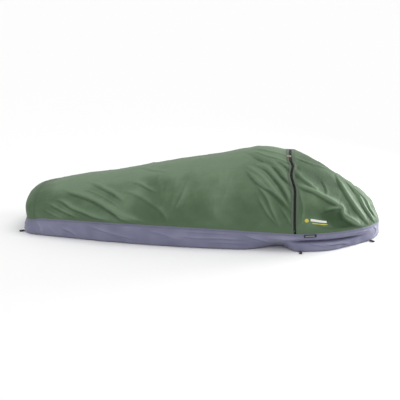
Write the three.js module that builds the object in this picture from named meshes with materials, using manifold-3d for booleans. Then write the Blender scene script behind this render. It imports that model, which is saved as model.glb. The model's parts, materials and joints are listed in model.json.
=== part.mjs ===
// Bivy sack: a bathtub floor, a tapered tunnel of light fabric and a hood that zips open
// along an arch over the chest. Millimetres, +Z up, +X towards the head, origin at the
// middle of the underside. The near side is -Y.

import * as THREE from 'three';
import Module from 'manifold-3d';
import { mergeVertices } from 'three/addons/utils/BufferGeometryUtils.js';

const wasm = await Module();
wasm.setup();

// ---- Driving dimensions -------------------------------------------------------------

const LENGTH = 2180;                 // floor, foot edge to head tip
const FOOT_HALF_WIDTH = 250;
const FOOT_ROUND = 90;               // corner radius of the foot, in plan and in side view
const FOOT_BOX = 2.6;                // how boxy the foot's side view is, 2 is an ellipse
const ARCH_RADIUS = 402;             // zip arch, a half circle
const ARCH_STATION = 1674;           // the arch's ends, from the foot edge
const ARCH_LEAN = 6.2;               // degrees, the arch leans towards the foot
const LEAN_LENGTH = 1400;            // the lean grows from the foot over this length
const TAPER_LENGTH = 1200;           // from the foot to the full width
const FLARE = 6;                     // the floor's outline stands this far outside the rim
const RIM = [[0, 100], [600, 117], [1100, 119], [1500, 108], [1674, 104], [1800, 102], [2180, 88]];
const RISE = [[0, 148], [90, 161], [380, 199], [660, 240], [940, 294], [1220, 346], [1420, 389],
  [1570, 410], [1640, 402], [1700, 402]];
const HEAD_SIDE = { power: 1, fullness: 0.56 };
const HEAD_PLAN = { power: 1.33, fullness: 0.6 };

const FABRIC = 1.2;
const GAP = 0.3;                     // between pieces that touch
const ARCH_STEPS = 32;
const ARCH_ZONE = 24;                // half width of the strip where the fabric is a true cylinder
const ARCH_FADE = 120;               // away from the zip the fabric leaves that cylinder over this

const TAPE = { inner: 1.2, outer: 16, thick: 0.8, end: 89 };
const COIL = { inner: 0.8, outer: 2.9, high: 2 };
const PANEL_EDGE = 7;                // from the middle of the zip
const WELT = { outer: 22, thick: 1 };
const CHAIN_END = 86;                // degrees from the top of the arch
const WELT_END = 83;
const HINGE_TAPER = 0.2;             // hood strips narrow towards the hinge ends
const FLAP = { back: -30, front: 24, depth: 7.2, thick: 0.8, end: 84 };
const GARAGE = { from: 13.2, to: 16.6, back: -23, front: 6 };
const STOP = { from: 86.6, to: 88, half: 3.2, high: 2.7 };

const SLIDER = {
  length: 14, width: 12, plate: 2, above: 3.3, below: 1.8, post: 0.8, postLength: 4, round: 4,
};
const BRIDGE = { leg: 1.2, span: 6, gap: 2.6, top: 1.4, width: 3, sink: 0.5 };
const PULL = {
  length: 34, width: 8, thick: 1.4, round: 3.4, window: 7.3, windowWidth: 4.4, bar: 1.4, lift: 0.5,
};
const PULL_EYE = { back: 5, radius: 1.8 };
const SLIDER_NEAR = 18.5;            // degrees from the top of the arch, towards the near side
const SLIDER_FAR = 10.5;

const BINDING = { from: -9, to: -1, thick: 1.2 };
const SEAM_TAPE = { from: -14, to: -2, thick: 0.9 };
const FOOT_TAPE = { half: 14, below: 1.2, end: 86 };
const LABEL = { from: 1725, to: 1795, low: -21, high: -2, thick: 0.8, stand: 0.5 };

const LOOP = { width: 15, reach: 28, gap: 5, web: 1.2, stand: 0.3, offset: 4.8, clear: 1.2 };
const FOOT_LOOP_TURN = 30;           // degrees, a foot loop points this far round its corner
const SHOULDER_LOOP_STATION = 1709;
const HEAD_LOOP_STATION = 2112;

// ---- Profiles along the length ------------------------------------------------------

const DEG = Math.PI / 180;

// Smooth curve through [station, value] points.
function profile(points) {
  const slope = points.map((p, i) => {
    const a = points[Math.max(i - 1, 0)];
    const b = points[Math.min(i + 1, points.length - 1)];
    return (b[1] - a[1]) / (b[0] - a[0]);
  });
  return (s) => {
    let i = 0;
    while (i < points.length - 2 && s > points[i + 1][0]) {
      i += 1;
    }
    const span = points[i + 1][0] - points[i][0];
    const t = THREE.MathUtils.clamp((s - points[i][0]) / span, 0, 1);
    const t2 = t * t;
    const t3 = t2 * t;
    return (2 * t3 - 3 * t2 + 1) * points[i][1] + (t3 - 2 * t2 + t) * span * slope[i]
      + (3 * t2 - 2 * t3) * points[i + 1][1] + (t3 - t2) * span * slope[i + 1];
  };
}

const rimHeight = profile(RIM);
const riseAlong = profile(RISE);
const headStart = ARCH_STATION + ARCH_ZONE;

// 0 where the head begins to narrow, 1 at the head tip.
function headShare(s) {
  return THREE.MathUtils.clamp((s - headStart) / (LENGTH - headStart), 0, 1);
}

// 1 at the foot edge, 0 where the foot's rounding ends.
function footShare(s) {
  return THREE.MathUtils.clamp(1 - s / FOOT_ROUND, 0, 1);
}

function halfWidth(s) {
  const growth = Math.sin((Math.PI / 2) * Math.min(s / TAPER_LENGTH, 1));
  const side = FOOT_HALF_WIDTH + (ARCH_RADIUS - FOOT_HALF_WIDTH) * growth;
  const corner = FOOT_ROUND * (1 - Math.sqrt(1 - footShare(s) ** 2));
  const head = (1 - headShare(s) ** HEAD_PLAN.power) ** HEAD_PLAN.fullness;
  return (side - corner) * head;
}

// Height of the fabric arch above the rim, along the arch's own leaning plane.
function rise(s) {
  const foot = (1 - footShare(s) ** FOOT_BOX) ** (1 / FOOT_BOX);
  const head = (1 - headShare(s) ** HEAD_SIDE.power) ** HEAD_SIDE.fullness;
  return riseAlong(s) * foot * head;
}

function lean(s) {
  return ARCH_LEAN * DEG * THREE.MathUtils.smoothstep(s, 0, LEAN_LENGTH);
}

// Near the zip the arch's centre climbs along the zip plane's normal, so that the fabric
// there is a true cylinder round it.
function centreShift(s) {
  const away = s - ARCH_STATION;
  return away * Math.tan(ARCH_LEAN * DEG) * Math.exp(-((away / ARCH_FADE) ** 4));
}

// ---- Placing in the part's frame ----------------------------------------------------

// The foot loops reach further out than the head tip does, so the middle of the whole object
// is a little towards the foot from the middle of the floor.
const headReach = FLARE + FABRIC;
const footReach = (headReach + LOOP.offset + LOOP.reach) * Math.cos(FOOT_LOOP_TURN * DEG)
  + (LOOP.width / 2) * Math.sin(FOOT_LOOP_TURN * DEG)
  - FOOT_ROUND * (1 - Math.cos(FOOT_LOOP_TURN * DEG));
const SHIFT = (footReach - headReach - LENGTH) / 2;

function archPoint(s, theta) {
  const rim = rimHeight(s);
  const edge = theta < 1e-6 || theta > Math.PI - 1e-6;
  const up = rise(s) * Math.sin(theta);
  const z = edge ? rim : rim + centreShift(s) + up * Math.cos(lean(s));
  const x = s + SHIFT - up * Math.sin(lean(s));
  return new THREE.Vector3(x, -halfWidth(s) * Math.cos(theta), Math.max(z, rim));
}

// The same surface with flat facets between the shared arch steps.
function facetPoint(s, theta) {
  const step = Math.PI / ARCH_STEPS;
  const k = Math.min(Math.floor(theta / step + 1e-9), ARCH_STEPS - 1);
  const a = archPoint(s, k * step);
  const b = archPoint(s, (k + 1) * step);
  return a.lerp(b, theta / step - k);
}

// ---- Sheets -------------------------------------------------------------------------

// A closed thin solid from a grid of points: the faces lie at `low` and `high` along the
// surface normal. Points that coincide become one.
function sheet(rows, low, high, wraps = false) {
  const points = [];
  const found = new Map();
  const ids = rows.map((row) => row.map((p) => {
    const key = p.toArray().map((v) => Math.round(v * 1000)).join();
    if (!found.has(key)) {
      found.set(key, points.length);
      points.push(p);
    }
    return found.get(key);
  }));
  const triangles = [];
  const rowCount = wraps ? ids.length : ids.length - 1;
  for (let i = 0; i < rowCount; i += 1) {
    const here = ids[i];
    const next = ids[(i + 1) % ids.length];
    for (let j = 0; j < here.length - 1; j += 1) {
      triangles.push([here[j], next[j], next[j + 1]]);
      triangles.push([here[j], next[j + 1], here[j + 1]]);
    }
  }
  const solid = triangles.filter(([a, b, c]) => a !== b && b !== c && c !== a);
  const normals = points.map(() => new THREE.Vector3());
  const ab = new THREE.Vector3();
  const ac = new THREE.Vector3();
  for (const [a, b, c] of solid) {
    ab.subVectors(points[b], points[a]);
    ac.subVectors(points[c], points[a]);
    const area = ab.cross(ac);
    [a, b, c].forEach((v) => normals[v].add(area));
  }
  const position = [];
  for (const offset of [high, low]) {
    points.forEach((p, i) => {
      const n = normals[i].clone().normalize();
      position.push(...p.clone().addScaledVector(n, offset).toArray());
    });
  }
  const under = points.length;
  const index = [];
  const edges = new Set();
  for (const [a, b, c] of solid) {
    index.push(a, b, c, under + a, under + c, under + b);
    edges.add(`${a},${b}`).add(`${b},${c}`).add(`${c},${a}`);
  }
  for (const edge of edges) {
    const [a, b] = edge.split(',').map(Number);
    if (!edges.has(`${b},${a}`)) {
      index.push(b, a, under + a, b, under + a, under + b);
    }
  }
  const geometry = new THREE.BufferGeometry();
  geometry.setAttribute('position', new THREE.Float32BufferAttribute(position, 3));
  geometry.setIndex(index);
  return geometry;
}

function steps(from, to, count) {
  return Array.from({ length: count + 1 }, (_, i) => from + ((to - from) * i) / count);
}

// Angles of the shared arch steps between two angles from the arch's top, ends included.
function anglesBetween(nearDeg, farDeg) {
  const from = (90 - nearDeg) * DEG;
  const to = (90 - farDeg) * DEG;
  const step = Math.PI / ARCH_STEPS;
  const inner = steps(0, Math.PI, ARCH_STEPS).filter((t) => t > from + step / 8 && t < to - step / 8);
  return [from, ...inner, to];
}

function panel(stations) {
  const thetas = steps(0, Math.PI, ARCH_STEPS);
  return sheet(stations.map((s) => thetas.map((t) => archPoint(s, t))), GAP, GAP + FABRIC);
}

// A strip along the zip: `edges` are its two distances from the middle of the zip.
function strip(edges, end, low, high, from = end, to = -end) {
  const thetas = anglesBetween(from, to);
  const cosLean = Math.cos(ARCH_LEAN * DEG);
  const at = (edge, t) => (typeof edge === 'function' ? edge(t) : edge) * cosLean;
  return sheet(edges.map((e) => thetas.map((t) => facetPoint(ARCH_STATION + at(e, t), t))), low, high);
}

// ---- Stations -----------------------------------------------------------------------

const footStations = steps(0, 90, 5).map((a) => FOOT_ROUND * (1 - Math.cos(a * DEG)));
const bodyStations = [
  ...steps(FOOT_ROUND + GAP, ARCH_STATION - ARCH_ZONE, 14),
  ARCH_STATION - PANEL_EDGE,
];
const hoodStations = [
  ARCH_STATION + PANEL_EDGE,
  ...steps(0, 90, 11).map((a) => headStart + (LENGTH - headStart) * Math.sin(a * DEG)),
];

// Plan outline at the rim, near side first and then back along the far side.
const sideStations = [...footStations.slice(0, -1), ...bodyStations, ...hoodStations];
const nearSide = sideStations.map((s) => new THREE.Vector2(s + SHIFT, -halfWidth(s)));
const farSide = sideStations.slice(0, -1).reverse()
  .map((s) => new THREE.Vector2(s + SHIFT, halfWidth(s)));
const rimOutline = [...nearSide, ...farSide];
const outlineStations = [...sideStations, ...sideStations.slice(0, -1).reverse()];

// Outward directions of the outline.
const outward = rimOutline.map((p, i) => {
  const n = rimOutline.length;
  const along = rimOutline[(i + 1) % n].clone().sub(rimOutline[(i + n - 1) % n]).normalize();
  return new THREE.Vector2(along.y, -along.x);
});

// A point of the tub's wall, by its place in the outline and its height.
function wallPoint(i, z) {
  const rim = rimHeight(outlineStations[i]);
  const out = FLARE * (1 - z / rim);
  return new THREE.Vector3(rimOutline[i].x + outward[i].x * out, rimOutline[i].y + outward[i].y * out, z);
}

function wallBand(lowZ, highZ, low, high) {
  const rows = rimOutline.map((_, i) => {
    const rim = rimHeight(outlineStations[i]);
    return [wallPoint(i, lowZ(rim)), wallPoint(i, highZ(rim))];
  });
  return sheet(rows, low, high, true);
}

// ---- Pieces -------------------------------------------------------------------------

function floorSheet() {
  const outline = rimOutline.map((p, i) => p.clone().addScaledVector(outward[i], FLARE + FABRIC));
  return new THREE.ExtrudeGeometry(new THREE.Shape(outline), { depth: FABRIC, bevelEnabled: false });
}

function sideLabel() {
  const stations = steps(LABEL.from, LABEL.to, 2);
  const point = (s, drop) => {
    const rim = rimHeight(s);
    const out = FLARE * (-drop / rim);
    return new THREE.Vector3(s + SHIFT, -halfWidth(s) - out, rim + drop);
  };
  const low = BINDING.thick + FABRIC + 2 * GAP + LABEL.stand;
  return sheet(stations.map((s) => [point(s, LABEL.low), point(s, LABEL.high)]), low, low + LABEL.thick);
}

function block(x, y, z, width, depth, height) {
  const geometry = new THREE.BoxGeometry(width, depth, height);
  geometry.translate(x, y, z);
  return geometry;
}

function solidOf(geometry) {
  const bare = geometry.index ? geometry.toNonIndexed() : geometry.clone();
  bare.deleteAttribute('normal');
  bare.deleteAttribute('uv');
  const merged = mergeVertices(bare, 1e-4);
  return new wasm.Manifold(new wasm.Mesh({
    numProp: 3,
    vertProperties: new Float32Array(merged.attributes.position.array),
    triVerts: new Uint32Array(merged.index.array),
  }));
}

function geometryOf(solid) {
  const mesh = solid.getMesh();
  const geometry = new THREE.BufferGeometry();
  geometry.setAttribute('position', new THREE.BufferAttribute(mesh.vertProperties, 3));
  geometry.setIndex(new THREE.BufferAttribute(mesh.triVerts, 1));
  return geometry;
}

// Rounded outline along +X, from `back` to `front`, for a slider's plate or a pull.
function roundedOutline(back, front, width, radius) {
  const half = width / 2;
  const shape = new THREE.Shape();
  shape.moveTo(back, -half);
  shape.lineTo(front - radius, -half);
  shape.absarc(front - radius, -half + radius, radius, -Math.PI / 2, 0, false);
  shape.absarc(front - radius, half - radius, radius, 0, Math.PI / 2, false);
  shape.lineTo(back, half);
  shape.closePath();
  return shape;
}

// A slider in its own frame: +X along the zip, +Y across it, +Z out of the fabric, with the
// zip's surface at z = 0. Two plates, the post between the coils and the bridge.
function slider() {
  const { length, width, plate, above, below, post } = SLIDER;
  const outline = () => roundedOutline(-length / 2, length / 2, width, SLIDER.round);
  const flat = { depth: plate, bevelEnabled: false, curveSegments: 5 };
  const top = new THREE.ExtrudeGeometry(outline(), flat).translate(0, 0, above);
  const bottom = new THREE.ExtrudeGeometry(outline(), flat).translate(0, 0, -below - plate);
  const joined = [
    bottom,
    block(0, 0, (above - below) / 2, SLIDER.postLength, post, above + below + plate),
    block(0, 0, above + plate + BRIDGE.gap + BRIDGE.top / 2,
      BRIDGE.span + 2 * BRIDGE.leg, BRIDGE.width, BRIDGE.top),
  ];
  for (const side of [-1, 1]) {
    joined.push(block(side * (BRIDGE.span + BRIDGE.leg) / 2, 0, above + plate + BRIDGE.gap / 2,
      BRIDGE.leg, BRIDGE.width, BRIDGE.gap + 2 * BRIDGE.sink));
  }
  return geometryOf(joined.reduce((sum, g) => sum.add(solidOf(g)), solidOf(top)));
}

// Height of a pull's cross bar over the zip's surface.
const pullHeight = SLIDER.above + SLIDER.plate + PULL.lift + PULL.thick / 2;

// A pull, lying along +X from its cross bar, which sits under the slider's bridge.
function pull() {
  const shape = roundedOutline(-PULL.bar / 2, PULL.length, PULL.width, PULL.round);
  const window = new THREE.Path();
  const half = PULL.windowWidth / 2;
  window.moveTo(PULL.bar / 2, -half);
  window.lineTo(PULL.bar / 2, half);
  window.lineTo(PULL.bar / 2 + PULL.window, half);
  window.lineTo(PULL.bar / 2 + PULL.window, -half);
  window.closePath();
  const eye = new THREE.Path();
  eye.absarc(PULL.length - PULL_EYE.back, 0, PULL_EYE.radius, 0, 2 * Math.PI, true);
  shape.holes.push(window, eye);
  const geometry = new THREE.ExtrudeGeometry(shape, {
    depth: PULL.thick, bevelEnabled: false, curveSegments: 5,
  });
  return geometry.translate(0, 0, -PULL.thick / 2);
}

// A peg loop in its own frame: +X away from the floor, hinged about Y at the origin.
function pegLoop() {
  const high = LOOP.gap / 2 + LOOP.web;
  const back = high - LOOP.offset + LOOP.clear;
  const front = LOOP.reach - high;
  const ring = (path, radius, turn) => {
    path.absarc(front, 0, radius, turn * -Math.PI / 2, turn * Math.PI / 2, turn < 0);
    path.absarc(back, 0, radius, turn * Math.PI / 2, turn * 1.5 * Math.PI, turn < 0);
    path.closePath();
    return path;
  };
  const shape = ring(new THREE.Shape(), high, 1);
  shape.holes.push(ring(new THREE.Path(), LOOP.gap / 2, -1));
  const geometry = new THREE.ExtrudeGeometry(shape, {
    depth: LOOP.width, bevelEnabled: false, curveSegments: 6,
  });
  return geometry.translate(0, 0, -LOOP.width / 2).rotateX(Math.PI / 2);
}

// ---- Colours ------------------------------------------------------------------------

function finish(color, roughness, metalness = 0) {
  return () => new THREE.MeshStandardMaterial({ color, roughness, metalness });
}

const shellFabric = finish(0x617460, 0.62);
const floorFabric = finish(0x6d6f86, 0.68);
const darkWeb = finish(0x1b1c1f, 0.75);
const tapeFabric = finish(0x24262a, 0.8);
const coilPlastic = finish(0x141517, 0.45);
const seamFilm = finish(0xa9aca6, 0.5);
const darkMetal = finish(0x2a2c2e, 0.4, 0.8);

// ---- Assembly -----------------------------------------------------------------------

const bivy = new THREE.Group();

function place(name, geometry, material, parent = bivy) {
  const mesh = new THREE.Mesh(geometry, material());
  mesh.name = name;
  parent.add(mesh);
  return mesh;
}

// The tub.
place('floor_sheet', floorSheet(), floorFabric);
place('tub_wall', wallBand(() => FABRIC + GAP, (rim) => rim - GAP, 0, FABRIC), floorFabric);
place('rim_binding', wallBand((rim) => rim + BINDING.from, (rim) => rim + BINDING.to,
  FABRIC + GAP, FABRIC + GAP + BINDING.thick), floorFabric);
place('rim_seam_tape', wallBand((rim) => rim + SEAM_TAPE.from, (rim) => rim + SEAM_TAPE.to,
  -GAP - SEAM_TAPE.thick, -GAP), seamFilm);
place('side_label', sideLabel(), darkWeb);

// The fabric shell.
place('foot_panel', panel(footStations), shellFabric);
place('body_panel', panel(bodyStations), shellFabric);
place('hood_panel', panel(hoodStations), shellFabric);
const footTapeRows = [FOOT_ROUND - FOOT_TAPE.half, FOOT_ROUND + FOOT_TAPE.half]
  .map((s) => anglesBetween(FOOT_TAPE.end, -FOOT_TAPE.end).map((t) => facetPoint(s, t)));
place('foot_seam_tape', sheet(footTapeRows, -FOOT_TAPE.below - SEAM_TAPE.thick, -FOOT_TAPE.below),
  seamFilm);

// The zip. Strips on the body's side are at negative distances, on the hood's at positive.
const hoodEdge = (limit) => (t) => Math.min(limit, HINGE_TAPER * ARCH_RADIUS * Math.sin(t));
const coilLow = GAP;
const weltLow = 2 * GAP + FABRIC;
place('zip_tape_body', strip([-TAPE.outer, -TAPE.inner], TAPE.end, -TAPE.thick, 0), tapeFabric);
place('zip_tape_hood', strip([TAPE.inner, hoodEdge(TAPE.outer)], CHAIN_END, -TAPE.thick, 0), tapeFabric);
place('zip_coil_body', strip([-COIL.outer, -COIL.inner], CHAIN_END, coilLow, coilLow + COIL.high),
  coilPlastic);
place('zip_coil_hood', strip([COIL.inner, COIL.outer], CHAIN_END, coilLow, coilLow + COIL.high),
  coilPlastic);
place('zip_welt_body', strip([-WELT.outer, -PANEL_EDGE], WELT_END, weltLow, weltLow + WELT.thick),
  shellFabric);
place('zip_welt_hood', strip([PANEL_EDGE, hoodEdge(WELT.outer)], WELT_END, weltLow,
  weltLow + WELT.thick), shellFabric);
place('zip_draft_flap', strip([FLAP.back, FLAP.front], FLAP.end, -FLAP.depth - FLAP.thick,
  -FLAP.depth), shellFabric);
const garageLow = weltLow + WELT.thick + GAP;
place('zip_garage', strip([GARAGE.back, GARAGE.front], 0, garageLow, garageLow + 1,
  GARAGE.to, GARAGE.from), tapeFabric);
for (const [side, sign] of [['near', 1], ['far', -1]]) {
  const ends = [STOP.from, STOP.to].map((a) => a * sign).sort((a, b) => b - a);
  place(`zip_stop_${side}`, strip([-STOP.half, STOP.half], 0, GAP, GAP + STOP.high, ...ends),
    darkMetal);
}

// Sliders and pulls sit in a group whose x axis runs along the zip, away from the top.
const archCentre = new THREE.Vector3(ARCH_STATION + SHIFT, 0, rimHeight(ARCH_STATION));
const archUp = new THREE.Vector3(-Math.sin(ARCH_LEAN * DEG), 0, Math.cos(ARCH_LEAN * DEG));
const near = new THREE.Vector3(0, -1, 0);

function onArch(angle, sign) {
  const radial = archUp.clone().multiplyScalar(Math.cos(angle * DEG))
    .addScaledVector(near, Math.sin(angle * DEG));
  const along = archUp.clone().multiplyScalar(-Math.sin(angle * DEG))
    .addScaledVector(near, Math.cos(angle * DEG)).multiplyScalar(sign);
  const across = radial.clone().cross(along);
  const group = new THREE.Group();
  group.setRotationFromMatrix(new THREE.Matrix4().makeBasis(along, across, radial));
  group.position.copy(archCentre).addScaledVector(radial, ARCH_RADIUS);
  bivy.add(group);
  return group;
}

for (const [side, angle, sign] of [['near', SLIDER_NEAR, 1], ['far', SLIDER_FAR, -1]]) {
  const group = onArch(angle, sign);
  place(`zip_slider_${side}`, slider(), darkMetal, group);
  place(`zip_pull_${side}`, pull(), darkWeb, group).position.set(0, 0, pullHeight);
}

// Peg loops at the foot's corners, the shoulders and the head.
function placeLoop(name, s, y, towards, side) {
  const out = new THREE.Vector2(Math.cos(towards * DEG), -Math.sin(towards * DEG) * side);
  const away = FLARE + FABRIC + LOOP.offset;
  const mesh = place(name, pegLoop(), darkWeb);
  mesh.position.set(s + SHIFT + out.x * away, -y * side + out.y * away,
    LOOP.gap / 2 + LOOP.web + LOOP.stand);
  mesh.rotation.z = Math.atan2(out.y, out.x);
}

const footCorner = {
  s: FOOT_ROUND * (1 - Math.cos(FOOT_LOOP_TURN * DEG)),
  y: FOOT_HALF_WIDTH - FOOT_ROUND * (1 - Math.sin(FOOT_LOOP_TURN * DEG)),
};
const shoulderHalf = halfWidth(SHOULDER_LOOP_STATION);
const headHalf = halfWidth(HEAD_LOOP_STATION);
const headSlope = headHalf - halfWidth(HEAD_LOOP_STATION + 1);
const headTurn = Math.atan(headSlope) / DEG;
for (const [side, sign] of [['near', 1], ['far', -1]]) {
  placeLoop(`peg_loop_foot_${side}`, footCorner.s, footCorner.y, 180 - FOOT_LOOP_TURN, sign);
  placeLoop(`peg_loop_shoulder_${side}`, SHOULDER_LOOP_STATION, shoulderHalf, 90, sign);
  placeLoop(`peg_loop_head_${side}`, HEAD_LOOP_STATION, headHalf, 90 - headTurn, sign);
}

export default bivy;
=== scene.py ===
import json
import math

import bmesh
import bpy
import numpy as np
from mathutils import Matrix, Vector


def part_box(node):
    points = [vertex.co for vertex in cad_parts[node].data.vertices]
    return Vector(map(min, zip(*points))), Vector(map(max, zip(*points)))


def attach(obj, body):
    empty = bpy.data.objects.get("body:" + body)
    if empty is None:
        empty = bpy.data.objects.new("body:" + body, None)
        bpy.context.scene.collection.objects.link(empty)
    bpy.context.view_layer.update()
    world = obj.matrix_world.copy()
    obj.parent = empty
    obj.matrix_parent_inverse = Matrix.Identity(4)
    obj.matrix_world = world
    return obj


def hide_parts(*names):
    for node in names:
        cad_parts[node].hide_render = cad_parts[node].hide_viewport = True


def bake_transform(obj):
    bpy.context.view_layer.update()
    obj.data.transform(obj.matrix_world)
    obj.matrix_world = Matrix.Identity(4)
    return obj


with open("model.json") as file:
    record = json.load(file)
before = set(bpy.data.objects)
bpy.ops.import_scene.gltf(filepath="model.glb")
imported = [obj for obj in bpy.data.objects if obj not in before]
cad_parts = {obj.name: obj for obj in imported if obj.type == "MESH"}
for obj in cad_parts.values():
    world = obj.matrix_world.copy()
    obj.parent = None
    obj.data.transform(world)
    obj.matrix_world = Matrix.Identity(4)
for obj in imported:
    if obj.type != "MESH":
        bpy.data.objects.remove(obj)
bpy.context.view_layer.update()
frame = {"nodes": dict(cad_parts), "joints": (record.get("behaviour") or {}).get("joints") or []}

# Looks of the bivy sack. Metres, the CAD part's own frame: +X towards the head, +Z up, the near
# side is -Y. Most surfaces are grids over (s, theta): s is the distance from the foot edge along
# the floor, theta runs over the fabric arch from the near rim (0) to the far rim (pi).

# ---- Driving dimensions, the CAD part's own ----

LENGTH = 2.18
FOOT_HALF_WIDTH = 0.25
FOOT_ROUND = 0.09
FOOT_BOX = 2.6
ARCH_RADIUS = 0.402
ARCH_STATION = 1.674
ARCH_LEAN = math.radians(6.2)
LEAN_LENGTH = 1.4
ARCH_FADE = 0.12
TAPER_LENGTH = 1.2
FLARE = 0.006
FABRIC = 0.0012
GAP = 0.0003
RIM = [(0, 0.1), (0.6, 0.117), (1.1, 0.119), (1.5, 0.108), (1.674, 0.104), (1.8, 0.102), (2.18, 0.088)]
RISE = [(0, 0.148), (0.09, 0.161), (0.38, 0.199), (0.66, 0.24), (0.94, 0.294), (1.22, 0.346),
        (1.42, 0.389), (1.57, 0.41), (1.64, 0.402), (1.7, 0.402)]
HEAD_START = ARCH_STATION + 0.024
HEAD_SIDE = (1, 0.56)
HEAD_PLAN = (1.33, 0.6)
PANEL_EDGE = 0.007
FOOT_EDGE_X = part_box("floor_sheet")[0].x + FLARE + FABRIC
SKIN = GAP + FABRIC                  # outer face of the panels over the bare surface
LIGHT_SIDE = Vector((0.5, 0, 1))     # where the key light comes from, along the near side

# ---- Small maths ----


def smoothstep(x, low, high):
    t = np.clip((np.asarray(x, float) - low) / (high - low), 0, 1)
    return t * t * (3 - 2 * t)


def bump(x, middle, width):
    return np.exp(-(((np.asarray(x, float) - middle) / width) ** 2))


def profile(points):
    """Smooth curve through (place, value) points, the same one as the CAD part's."""
    xs, ys = (np.array(column, float) for column in zip(*points))
    before, after = np.maximum(np.arange(len(xs)) - 1, 0), np.minimum(np.arange(len(xs)) + 1, len(xs) - 1)
    slope = (ys[after] - ys[before]) / (xs[after] - xs[before])

    def curve(x):
        i = np.clip(np.searchsorted(xs, x, side="right") - 1, 0, len(xs) - 2)
        span = xs[i + 1] - xs[i]
        t = np.clip((x - xs[i]) / span, 0, 1)
        t2 = t * t
        t3 = t2 * t
        return ((2 * t3 - 3 * t2 + 1) * ys[i] + (t3 - 2 * t2 + t) * span * slope[i]
                + (3 * t2 - 2 * t3) * ys[i + 1] + (t3 - t2) * span * slope[i + 1])

    return curve


def unit(v):
    return v / np.maximum(np.linalg.norm(v, axis=-1, keepdims=True), 1e-12)


def along_path(points):
    """Distance of each point of a path from its first."""
    return np.concatenate([[0], np.cumsum(np.linalg.norm(np.diff(points, axis=0), axis=-1))])


def waves(points, seed, longest, shortest, count, squeeze=(1, 1, 1)):
    """Smooth irregular waves of about -1 to 1 at each point, the same ones each run."""
    rng = np.random.default_rng(seed)
    total = np.zeros(points.shape[:-1])
    for _ in range(count):
        direction = unit(rng.normal(size=3)) * np.array(squeeze)
        length = math.exp(rng.uniform(math.log(shortest), math.log(longest)))
        total += np.sin(points @ direction * (2 * math.pi / length) + rng.uniform(0, 2 * math.pi))
    return total / math.sqrt(count / 2) / 1.6


# ---- The smooth surface ----

rim_points = profile(RIM)
rise_points = profile(RISE)
FOOT_DROP = 0.018                    # the seam dips round the foot's end


def foot_drop(s):
    return FOOT_DROP * (1 - smoothstep(s, 0.0, 0.16))


def rim_height(s):
    return rim_points(s) - foot_drop(s)


def rise_along(s):
    return rise_points(s) + foot_drop(s)


def half_width(s):
    taper = np.sin(np.pi / 2 * np.minimum(s / TAPER_LENGTH, 1))
    side = FOOT_HALF_WIDTH + (ARCH_RADIUS - FOOT_HALF_WIDTH) * taper
    foot = np.clip(1 - s / FOOT_ROUND, 0, 1)
    head = np.clip((s - HEAD_START) / (LENGTH - HEAD_START), 0, 1)
    corner = FOOT_ROUND * (1 - np.sqrt(1 - foot ** 2))
    return (side - corner) * (1 - head ** HEAD_PLAN[0]) ** HEAD_PLAN[1]


def rise(s):
    foot = np.clip(1 - s / FOOT_ROUND, 0, 1)
    head = np.clip((s - HEAD_START) / (LENGTH - HEAD_START), 0, 1)
    return (rise_along(s) * (1 - foot ** FOOT_BOX) ** (1 / FOOT_BOX)
            * (1 - head ** HEAD_SIDE[0]) ** HEAD_SIDE[1])


def smooth_surface(s, theta):
    s, theta = np.broadcast_arrays(np.asarray(s, float), np.asarray(theta, float))
    lean = ARCH_LEAN * smoothstep(s, 0, LEAN_LENGTH)
    away = s - ARCH_STATION
    shift = away * math.tan(ARCH_LEAN) * np.exp(-((away / ARCH_FADE) ** 4))
    shift = shift * smoothstep(np.sin(theta), 0, 0.12)
    up = rise(s) * np.sin(theta)
    return np.stack([s + FOOT_EDGE_X - up * np.sin(lean), -half_width(s) * np.cos(theta),
                     rim_height(s) + shift + up * np.cos(lean)], -1)


def smooth_normal(s, theta):
    s = np.clip(s, 0.002, LENGTH - 0.004)
    t = np.clip(theta, 0.02, np.pi - 0.02)
    e = 5e-4
    along = smooth_surface(s + e, t) - smooth_surface(s - e, t)
    over = smooth_surface(s, t + e) - smooth_surface(s, t - e)
    n = unit(np.cross(along, over))
    tip = smoothstep(s, LENGTH - 0.02, LENGTH - 0.005)[..., None]
    return unit(n * (1 - tip) + np.array([1.0, 0, 0.3]) * tip)


# ---- The sewn zip's wave and the folds ----

FOLD_HEIGHT = 1.5                    # scales for the heights and widths of all folds
FOLD_WIDTH = 0.72
ARC_METRES = 0.36                    # about one radian of the arch, in metres of cloth
# A fold's cross-section in its own widths: a ridge with a steep front and a soft back, and a
# shallow valley at its dark foot.
RIDGE_AT = 0.5
RIDGE_BACK = 1.5
RIDGE_FRONT = 0.62
RIDGE_POWER = 1.4
VALLEY_AT = -0.35
VALLEY_WIDTH = 0.6
VALLEY_SHARE = 0.6
FOLD_REACH = 4

# How far the zip wanders towards the head, by degrees from the top of the arch. The steps on the
# near side (positive) were printed by a scratch script from places in the photo, then changed.
zip_wander = profile([(-90, 0), (-60, 0.003), (-45, -0.005), (-30, 0.006), (-18, 0), (21, 0), (29, 0.011),
                      (40, 0.001), (53, 0.016), (63, 0.012), (72, 0.007), (81, 0.002), (86, 0), (90, 0)])


def wander(s, theta):
    return s + zip_wander(90 - np.degrees(theta)) * bump(s, ARCH_STATION, 0.09)


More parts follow.
